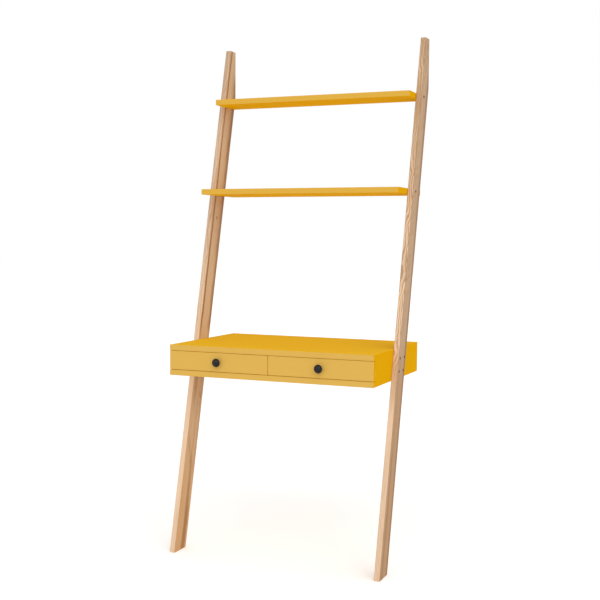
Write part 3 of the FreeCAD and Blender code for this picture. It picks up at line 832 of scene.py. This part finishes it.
def soften(piece: bpy.types.Object, width: float, segments: int) -> None:
    """Bevel the sharp edges of a piece and shade it smooth.

    Args:
        piece: The piece.
        width: The bevels' width.
        segments: How many faces a bevel has across it.
    """
    apply_modifier(piece, "BEVEL", width=width, segments=segments, limit_method="ANGLE",
                   angle_limit=BEVEL_ANGLE)
    only(piece)
    bpy.ops.object.shade_smooth_by_angle(angle=SMOOTH_ANGLE)


def end_middles(node: str, way: Vector, reach: float) -> list[Vector]:
    """Find the middles of a node's end faces that lie furthest along a direction.

    Args:
        node: A CAD node of one or more solids.
        way: The direction, along an axis.
        reach: Points within this distance are on one face.

    Returns:
        The faces' middles, in metres.
    """
    points = [vertex.co.copy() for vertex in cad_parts[node].data.vertices]
    furthest = max(point.dot(way) for point in points)
    groups: list[list[Vector]] = []
    for point in points:
        if point.dot(way) < furthest - LEVEL_WITH:
            continue
        near = next((group for group in groups if (group[0] - point).length < reach), None)
        if near is None:
            groups.append([point])
        else:
            near.append(point)
    return [Vector((min(values) + max(values)) / 2 for values in zip(*group)) for group in groups]


@dataclass(frozen=True)
class Fastener:
    """A turned bolt or screw with a recess in its head.

    The width of the cutter's bars is a share of the drive's size. Two fasteners of a node lie
    further apart than the least spacing, which counts head diameters.
    """

    head_diameter: float
    rim_height: float
    head_height: float
    crown_diameter: float
    shank_diameter: float
    shank_length: float
    drive: Drive
    drive_size: float
    drive_depth: float
    tip: float = 1.2 * MM
    edge: float = 0.18 * MM
    edge_segments: int = 2
    corners: int = 48
    crown_steps: int = 5
    bar_width: float = 0.2
    bar_taper: Span = (0.45, 0.8)
    least_spacing: float = 1.5

    def build(self, name: str) -> bpy.types.Object:
        """Model one fastener about the Z axis, the seat of its head at Z = 0.

        Args:
            name: The piece's name.

        Returns:
            The piece.
        """
        head = self.head_diameter / 2
        shank = self.shank_diameter / 2
        end = -self.shank_length
        piece = add_rod(name, head, 0, self.rim_height, self.corners)
        turn_end(piece, self.crown_profile(), upper=True)
        turn_end(piece, [(head, 0), (shank, 0), (shank, end + self.tip), (shank - self.tip, end)],
                 upper=False)
        self.cut_drive(piece)
        soften(piece, self.edge, self.edge_segments)
        return piece

    def crown_profile(self) -> Profile:
        """Give the head's profile above its rim, a quarter of an ellipse.

        Returns:
            The radius and height at each step.
        """
        crown = self.crown_diameter / 2
        run = self.head_diameter / 2 - crown
        rise = self.head_height - self.rim_height
        steps = self.crown_steps
        angles = [math.pi / 2 * step / steps for step in range(steps + 1)]
        return [(crown + run * math.cos(angle), self.rim_height + rise * math.sin(angle))
                for angle in angles]

    def cut_drive(self, piece: bpy.types.Object) -> None:
        """Cut the recess for the key or the driver.

        Args:
            piece: The fastener.
        """
        floor = self.head_height - self.drive_depth
        top = self.head_height + self.drive_depth
        count = self.drive.value
        if self.drive is Drive.HEX:
            cutters = [add_rod("cutter", self.drive_size / 2, floor, top, count)]
        else:
            cutters = [self.add_bar(turn * math.pi / count, floor, top) for turn in range(count)]
        for cutter in cutters:
            apply_modifier(piece, "BOOLEAN", object=cutter, operation="DIFFERENCE", solver="EXACT")
            bpy.data.objects.remove(cutter)

    def add_bar(self, turn: float, floor: float, top: float) -> bpy.types.Object:
        """Add one bar of a cross-shaped cutter, narrower at the recess's floor.

        Args:
            turn: The angle that it is turned by about the Z axis.
            floor: The height of its lower face.
            top: The height of its upper face.

        Returns:
            The bar.
        """
        bpy.ops.object.select_all(action="DESELECT")
        bpy.ops.mesh.primitive_cube_add(size=1, location=(0, 0, (floor + top) / 2),
                                        rotation=(0, 0, turn))
        bar = bpy.context.object
        bar.scale = (self.drive_size, self.drive_size * self.bar_width, top - floor)
        apply_place(bar)
        with editing(bar, lambda face: face.normal.z < -END_FACING):
            bpy.ops.transform.resize(value=(*self.bar_taper, 1), center_override=(0, 0, floor))
        return bar

    def fit(self, node: str, ways: list[Vector]) -> bpy.types.Object:
        """Model the fasteners of one node, each at its solid's place.

        Args:
            node: The CAD node.
            ways: The directions that its heads face.

        Returns:
            One piece with all the fasteners.
        """
        first = self.build(f"{node}_finished")
        pattern = first.data.copy()
        copies = []
        for way in ways:
            turn = way.to_track_quat("Z", "Y").to_matrix().to_4x4()
            for middle in end_middles(node, way, self.least_spacing * self.head_diameter):
                mesh = pattern.copy()
                mesh.transform(Matrix.Translation(middle - way * self.head_height) @ turn)
                copies.append(mesh)
        first.data = copies[0]
        pieces = [first]
        for mesh in copies[1:]:
            other = bpy.data.objects.new(first.name, mesh)
            bpy.context.scene.collection.objects.link(other)
            pieces.append(other)
        only(*pieces)
        if len(pieces) > 1:
            bpy.ops.object.join()
        LOG.info("%s: %d fasteners", first.name, len(pieces))
        return first


@dataclass
class Legs:
    """The two leaning legs, with the streaks that the photo shows."""

    front_depth: float = -204.3 * MM
    # The radius of the painted shade round each counterbore.
    bore_shade_radius: float = 5.2 * MM
    bore_spacing: float = 15.6 * MM
    edge_width: float = 3 * MM

    def bore_shades(self, side: Side) -> tuple[Spot, ...]:
        """Find where to paint shade in a leg's counterbores, from the bolts that sit in them.

        Args:
            side: Which leg.

        Returns:
            The spots of painted shade in the counterbores, in the leg's own directions.
        """
        upright = Matrix.Rotation(LEAN, 3, "X")
        places = [upright @ middle for node in ("desk_bolts", "shelf_bolts")
                  for middle in end_middles(node, side.outwards, self.bore_spacing)]
        return tuple(Spot(place.y - self.front_depth, place.z, self.bore_shade_radius) for place in places)

    def left_ash(self) -> AshWood:
        """Choose the left leg's wood, straight-grained, with a dark line along the front, and painted
        shade and light under the desk.

        Returns:
            The finish.
        """
        darker_top = Streak(40 * MM, 160 * MM, 1.62, 2.30, 0.18)
        # The stretch from 0.34 to 0.62, of negative strength, is painted light: a paler front edge
        # under the desk.
        front_edge = Streak.line(
            0.0, self.edge_width,
            (-0.10, 0.10, 0.16), (0.34, 0.62, -0.30), (0.74, 1.02, 0.22), (1.02, 1.95, 0.42))
        dark_line = Streak.line(
            9.5 * MM, 7.5 * MM,
            (0.74, 1.02, 0.95), (1.02, 1.46, 0.86), (1.46, 1.57, 0.70), (1.57, 1.95, 0.86))
        back_edge = (
            Streak(78 * MM, 32 * MM, 0.74, 1.80, 0.74),
            Streak(50 * MM, 14 * MM, 1.02, 1.62, 0.10),
        )
        foot = (
            Streak(54 * MM, 20 * MM, -0.10, 0.13, 0.66),
            Streak(50 * MM, 15 * MM, 0.13, 0.24, 0.53),
            Streak(44 * MM, 14 * MM, 0.24, 0.30, 0.34),
            Streak(44 * MM, 16 * MM, 0.27, 0.37, 0.28, slope=-0.36),
            Streak(47 * MM, 9 * MM, 0.30, 0.47, 0.30),
            Streak(76 * MM, 18 * MM, 0.22, 0.66, 0.28),
        )
        # Painted shade on the left leg's face just under the desk.
        painted_shade_under_desk = (
            Streak(16 * MM, 16 * MM, 0.485, 0.66, 0.36),
            Streak(40 * MM, 30 * MM, 0.47, 0.66, 0.24),
            Streak(60 * MM, 16 * MM, 0.46, 0.66, 0.26),
        )
        return AshWood(
            "left_leg_ash", pith=(-345 * MM, 60 * MM), front_depth=self.front_depth,
            streaks=(darker_top, *front_edge, *dark_line, *back_edge, *foot, *painted_shade_under_desk),
            bore_shades=self.bore_shades(Side.LEFT), knots=(Spot(36 * MM, 1.169, 5.5 * MM, squash=0.7),),
            edge_light=(0.87, 0.617, 0.415), face_light=(0.70, 0.48, 0.275),
            heart_light=(0.66, 0.375, 0.165), heart_reach=(0.05, 0.60),
            face_dark=(0.33, 0.14, 0.028), waviness=12 * MM, contrast=0.26, ring_width=5.2 * MM)

    def right_ash(self) -> AshWood:
        """Choose the right leg's wood, with wild grain on its front edge.

        Returns:
            The finish.
        """
        darker_top = Streak(40 * MM, 160 * MM, 1.74, 2.30, 0.20)
        front_edge = Streak.line(
            0.0, self.edge_width,
            (-0.10, 0.40, 0.22), (0.52, 0.69, 0.34), (0.94, 1.04, 0.34), (1.04, 1.20, 0.16),
            (1.20, 1.36, 0.36), (1.36, 1.95, 0.38), (1.51, 1.62, 0.24))
        face = (
            Streak(20 * MM, 13 * MM, -0.10, 0.38, 0.54),
            Streak(22 * MM, 12 * MM, 0.38, 0.66, 0.26),
            Streak(42 * MM, 18 * MM, 0.76, 1.16, -0.14),
        )
        back_edge = (
            Streak(80 * MM, 24 * MM, -0.10, 1.80, 1.00),
            Streak(72 * MM, 14 * MM, 0.66, 0.84, 0.60),
            Streak(64 * MM, 18 * MM, 1.02, 1.36, 0.12),
            Streak(62 * MM, 18 * MM, 1.36, 1.80, 0.26),
        )
        return AshWood(
            "right_leg_ash", pith=(345 * MM, 30 * MM), front_depth=self.front_depth,
            streaks=(darker_top, *front_edge, *face, *back_edge), bore_shades=self.bore_shades(Side.RIGHT),
            edge_light=(0.86, 0.61, 0.42), edge_dark=(0.48, 0.29, 0.145),
            face_light=(0.53, 0.335, 0.18), heart_light=(0.475, 0.264, 0.114),
            heart_reach=(0.58, 0.76), heart_calm=0.85,
            waviness=30 * MM, contrast=0.70, ring_width=6.5 * MM)

    def dress(self) -> None:
        """Give each leg its own ash."""
        dress("left_leg", self.left_ash())
        dress("right_leg", self.right_ash())


@dataclass
class PaintedBoards:
    """The shelves and the boards and panels of the desk box."""

    shelves: tuple[str, ...] = ("upper_shelf", "lower_shelf")
    box: tuple[str, ...] = ("desk_top", "desk_bottom", "left_side_panel", "right_side_panel",
                            "center_divider", "back_panel")

    def dress(self) -> None:
        """Paint every board."""
        for node in self.shelves:
            dress(node, SHELF_PAINT)
        for node in self.box:
            dress(node, PAINT)


@dataclass
class Drawer:
    """One drawer with its painted front, plywood box, knob and screws."""

    side: Side
    neck_radius: float = 7 * MM
    neck_length: float = 7 * MM
    rim_radius: float = 14.5 * MM
    flare_height: float = 13 * MM
    rim_height: float = 14 * MM
    projection: float = 24 * MM
    flat_angle: float = 1 / 24
    knob_corners: int = 64
    dome_steps: int = 12
    knob_edge: float = 0.7 * MM
    knob_edge_segments: int = 3
    front_screw: Fastener = Fastener(
        head_diameter=8 * MM, rim_height=0.9 * MM, head_height=2.5 * MM, crown_diameter=3.4 * MM,
        shank_diameter=3.5 * MM, shank_length=23.8 * MM,
        drive=Drive.CROSS, drive_size=4.2 * MM, drive_depth=1.5 * MM)
    knob_screw: Fastener = replace(front_screw, shank_diameter=4 * MM, shank_length=42.8 * MM)

    def dress(self) -> None:
        """Finish the CAD pieces of the drawer and its runners."""
        word = self.side.word
        dress(f"{word}_drawer_front", PAINT)
        box = {"inner_side": SIDE_PLYWOOD, "outer_side": SIDE_PLYWOOD, "inner_front": WALL_PLYWOOD,
               "back": WALL_PLYWOOD, "base": BASE_PLYWOOD}
        for node, finish in box.items():
            dress(f"{word}_drawer_{node}", finish)
        for edge in ("inner", "outer"):
            dress(f"{word}_{edge}_runner", RUNNER_BEECH)
        dress(f"{word}_stop_pins", ZINC)

    def build_knob(self) -> None:
        """Turn the knob and set it on the drawer front."""
        word = self.side.word
        knob = add_rod(f"{word}_knob_finished", self.neck_radius, 0, self.neck_length,
                       self.knob_corners)
        profile = [(self.neck_radius, self.neck_length), (self.rim_radius, self.flare_height),
                   *self.dome_profile()]
        turn_end(knob, profile, upper=True)
        soften(knob, self.knob_edge, self.knob_edge_segments)
        low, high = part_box(f"{word}_knob")
        knob.location = ((low.x + high.x) / 2, high.y, (low.z + high.z) / 2)
        knob.rotation_euler = (math.pi / 2, 0, 0)
        apply_place(knob)
        seat_piece(knob, f"{word}_drawer", [f"{word}_knob"], BLACK_ENAMEL)

    def dome_profile(self) -> Profile:
        """Give the profile of the knob's domed cap, from its rim to a small flat on top.

        Returns:
            The radius and height at each step.
        """
        rise = self.projection - self.rim_height
        radius = (self.rim_radius ** 2 + rise ** 2) / (2 * rise)
        start = math.asin(1 - rise / radius)
        turn = math.pi / 2 - self.flat_angle - start
        angles = [start + turn * step / self.dome_steps for step in range(self.dome_steps + 1)]
        middle = self.projection - radius
        return [(radius * math.cos(angle), middle + radius * math.sin(angle)) for angle in angles]

    def build_screws(self) -> None:
        """Model the screws whose heads show inside the drawer."""
        word = self.side.word
        screws = {f"{word}_front_screws": self.front_screw, f"{word}_knob_screw": self.knob_screw}
        for node, screw in screws.items():
            piece = screw.fit(node, [Vector((0, 1, 0))])
            seat_piece(piece, f"{word}_drawer", [node], ZINC)


@dataclass
class FrameFastenings:
    """The bolts and screws that show on the outside, and the hidden inserts and dowels."""

    bolt: Fastener = Fastener(
        head_diameter=8.5 * MM, rim_height=4.6 * MM, head_height=5 * MM, crown_diameter=7.7 * MM,
        shank_diameter=5 * MM, shank_length=26.8 * MM,
        drive=Drive.HEX, drive_size=4.6 * MM, drive_depth=2.5 * MM)
    carcass_screw: Fastener = Fastener(
        head_diameter=10 * MM, rim_height=2.6 * MM, head_height=3 * MM, crown_diameter=9 * MM,
        shank_diameter=5 * MM, shank_length=43.8 * MM,
        drive=Drive.CROSS, drive_size=5.4 * MM, drive_depth=1.8 * MM)

    def build(self) -> None:
        """Model the bolts and the screws under the desk, and finish what stays hidden."""
        outwards = [side.outwards for side in Side]
        for node in ("desk_bolts", "shelf_bolts"):
            seat_piece(self.bolt.fit(node, outwards), "frame", [node], BLACK_OXIDE)
        screws = self.carcass_screw.fit("carcass_screws", [Vector((0, 0, -1))])
        seat_piece(screws, "frame", ["carcass_screws"], ZINC)
        hidden = {"runner_screws": ZINC, "desk_inserts": BRASS, "shelf_inserts": BRASS,
                  "shelf_dowels": SHELF_DOWEL_BEECH, "carcass_dowels": DESK_DOWEL_BEECH}
        for node, finish in hidden.items():
            dress(node, finish)


@dataclass(frozen=True)
class Lamp:
    """A wide, soft lamp far away, by where its light comes from and its level on a facing surface."""

    name: str
    comes_from: tuple[float, float, float]
    level: float
    spread: float = math.radians(70)

    def build(self) -> None:
        """Hang the lamp."""
        data = bpy.data.lights.new(self.name, "SUN")
        data.energy = self.level * math.pi
        data.angle = self.spread
        lamp = bpy.data.objects.new(self.name, data)
        lamp.rotation_euler = Vector(self.comes_from).to_track_quat("Z", "Y").to_euler()
        bpy.context.scene.collection.objects.link(lamp)


@dataclass(frozen=True)
class Camera:
    """The photographer's camera, in metres and radians, its image square."""

    place: tuple[float, float, float] = (1.40245, -3.31048, 1.09740)
    yaw: float = 0.39693
    pitch: float = -0.0838
    roll: float = 0.0081
    image_width: float = 600.0
    focal_pixels: float = 1033.58
    raised_pixels: float = 26.58
    sensor: float = 36.0

    def build(self) -> None:
        """Set up the camera and make it the scene's own."""
        data = bpy.data.cameras.new("camera")
        data.sensor_width = self.sensor
        data.lens = self.sensor * self.focal_pixels / self.image_width
        data.shift_y = self.raised_pixels / self.image_width
        camera = bpy.data.objects.new("camera", data)
        bpy.context.scene.collection.objects.link(camera)
        camera.matrix_world = (Matrix.Translation(self.place) @ Matrix.Rotation(self.yaw, 4, "Z")
                               @ Matrix.Rotation(math.pi / 2 + self.pitch, 4, "X")
                               @ Matrix.Rotation(self.roll, 4, "Z"))
        bpy.context.scene.camera = camera


@dataclass
class Studio:
    """A plain white room with soft light."""

    camera: Camera = Camera()
    lamps: tuple[Lamp, ...] = (
        Lamp("front_lamp", comes_from=(0.25, -0.75, 0.60), level=0.305),
        Lamp("right_lamp", comes_from=(0.85, -0.25, 0.50), level=0.175),
    )
    sky_level: float = 0.60
    floor_size: float = 60.0
    floor_colour: Colour = (0.92, 0.92, 0.92)
    floor_lift: float = 0.31

    def build(self) -> None:
        """Set up the floor, the light and the camera."""
        self.build_floor()
        self.build_sky()
        for lamp in self.lamps:
            lamp.build()
        self.camera.build()
        bpy.context.scene.view_settings.view_transform = "Standard"

    @staticmethod
    def seen_ray(tree: ShaderTree) -> Wire:
        """Tell whether a surface is looked at, straight, in a reflection or through glass.

        Args:
            tree: The tree of the floor's material or of the world.

        Returns:
            1 where it is looked at, and 0 where it only lights other surfaces.
        """
        path = tree.add("ShaderNodeLightPath")
        mirrored = tree.math("MAXIMUM", path.out("Is Glossy Ray"), path.out("Is Transmission Ray"))
        return tree.math("MAXIMUM", path.out("Is Camera Ray"), mirrored)

    def build_floor(self) -> None:
        """Lay a white floor that keeps the object's shadow."""
        bpy.ops.object.select_all(action="DESELECT")
        bpy.ops.mesh.primitive_plane_add(size=self.floor_size)
        floor = bpy.context.object
        floor.name = "floor"
        material = bpy.data.materials.new("white_floor")
        tree = ShaderTree(material)
        matt = tree.add("ShaderNodeBsdfDiffuse", inputs={"Color": self.floor_colour})
        strength = self.seen_ray(tree) * self.floor_lift
        lift = tree.add("ShaderNodeEmission", inputs={"Strength": strength})
        both = tree.add("ShaderNodeAddShader", inputs={0: matt, 1: lift})
        tree.add("ShaderNodeOutputMaterial", inputs={"Surface": both})
        floor.data.materials.append(material)

    def build_sky(self) -> None:
        """Light the scene evenly from all round, and show white behind the object."""
        world = bpy.data.worlds.new("white_room")
        tree = ShaderTree(world)
        level = self.seen_ray(tree) * (1 - self.sky_level) + self.sky_level
        sky = tree.add("ShaderNodeBackground", inputs={"Color": (1, 1, 1), "Strength": level})
        tree.add("ShaderNodeOutputWorld", inputs={"Surface": sky})
        bpy.context.scene.world = world


def main() -> None:
    """Dress the desk and set up the studio."""
    Legs().dress()
    PaintedBoards().dress()
    for side in Side:
        drawer = Drawer(side)
        drawer.dress()
        drawer.build_knob()
        drawer.build_screws()
    FrameFastenings().build()
    Studio().build()


if __name__ == "__main__":
    main()
